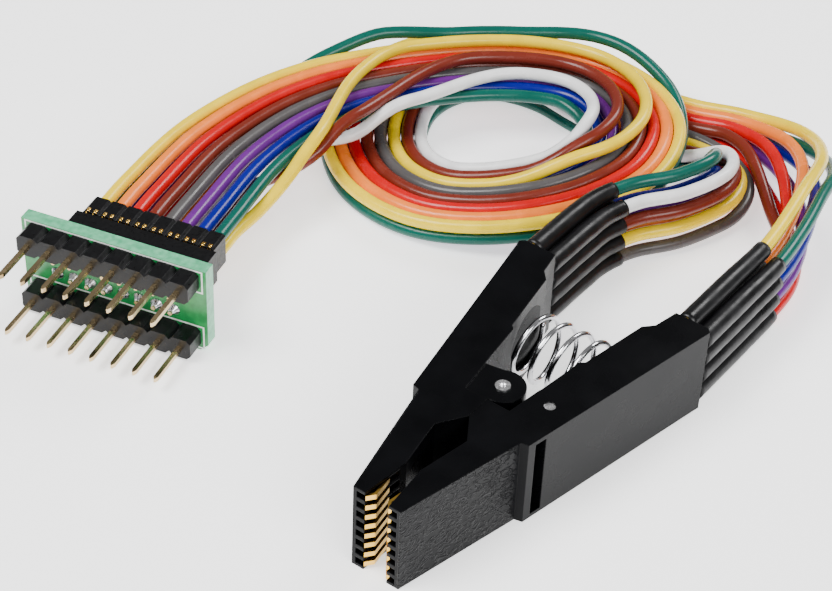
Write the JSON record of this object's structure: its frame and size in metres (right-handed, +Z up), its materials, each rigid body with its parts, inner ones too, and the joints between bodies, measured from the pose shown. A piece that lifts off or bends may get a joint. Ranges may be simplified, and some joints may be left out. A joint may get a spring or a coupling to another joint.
{
  "type": "chip test clip with cable",
  "caption": "Spring-loaded clip for testing a surface-mount chip, with a rainbow wire cable and a pin adapter board that plugs in where a DIP chip would.",
  "frame": {"origin": "on the table under the clip's pivot, at the middle of the clip", "axes": "+Z up along the pivot pin, the clip lying on its side; +X from the jaws to the handles; +Y towards the fixed back arm and the adapter board"},
  "size_m": [0.0861, 0.0691, 0.0109],
  "materials": {
    "black_plastic": "moulded black ABS, satin with a leather-like grain on the grips",
    "gold": "gold-plated spring bronze",
    "steel": "bright steel",
    "spring_steel": "bright nickel-plated spring wire",
    "sleeve": "black heat-shrink tube, satin",
    "tin": "solder, bright and slightly lumpy",
    "board": "green solder mask on glass-fibre laminate",
    "header_black": "black glass-filled nylon",
    "gold_pin": "flash-gold square pins",
    "wire_yellow": "PVC insulation, soft gloss",
    "wire_orange": "PVC insulation, soft gloss",
    "wire_red": "PVC insulation, soft gloss",
    "wire_brown": "PVC insulation, soft gloss",
    "wire_grey": "PVC insulation, soft gloss",
    "wire_white": "PVC insulation, soft gloss",
    "wire_purple": "PVC insulation, soft gloss",
    "wire_blue": "PVC insulation, soft gloss",
    "wire_teal": "PVC insulation, soft gloss"
  },
  "bodies": {
    "root": {"back_arm": "black_plastic", "back_contacts": "gold", "pivot_pin": "steel", "back_dowel": "steel", "closing_spring": "spring_steel", "back_sleeves": "sleeve", "back_solder": "tin", "adapter_board": "board", "upper_pin_strip": "header_black", "lower_pin_strip": "header_black", "upper_pins": "gold_pin", "lower_pins": "gold_pin", "pin_solder": "tin", "cable_socket": "header_black", "socket_terminals": "gold_pin", "socket_solder": "tin", "cable_header": "header_black", "header_pins": "gold", "wire_yellow_upper": "wire_yellow", "wire_orange_upper": "wire_orange", "wire_red_upper": "wire_red", "wire_brown_upper": "wire_brown", "wire_grey_upper": "wire_grey", "wire_purple_upper": "wire_purple", "wire_blue_upper": "wire_blue", "wire_teal_upper": "wire_teal", "wire_teal_lower": "wire_teal", "wire_blue_lower": "wire_blue", "wire_purple_lower": "wire_purple", "wire_red_lower": "wire_red", "wire_orange_lower": "wire_orange", "wire_white_lower": "wire_white", "wire_brown_lower": "wire_brown", "wire_yellow_lower": "wire_yellow"},
    "front_arm": {"front_arm": "black_plastic", "front_contacts": "gold", "front_dowel": "steel", "front_sleeves": "sleeve", "front_solder": "tin"}
  },
  "joints": [
    {"name": "clip_pivot", "type": "hinge", "parent": "root", "child": "front_arm", "pos_m": [0, 0, 0], "axis": [0, 0, 1], "range_deg": [0, 14], "stiffness_Nm_per_rad": 0.12, "springref_deg": -28.65, "deforming": ["closing_spring", "wire_yellow_upper", "wire_orange_upper", "wire_red_upper", "wire_brown_upper", "wire_teal_lower", "wire_blue_lower", "wire_purple_lower", "wire_red_lower"]}
  ]
}
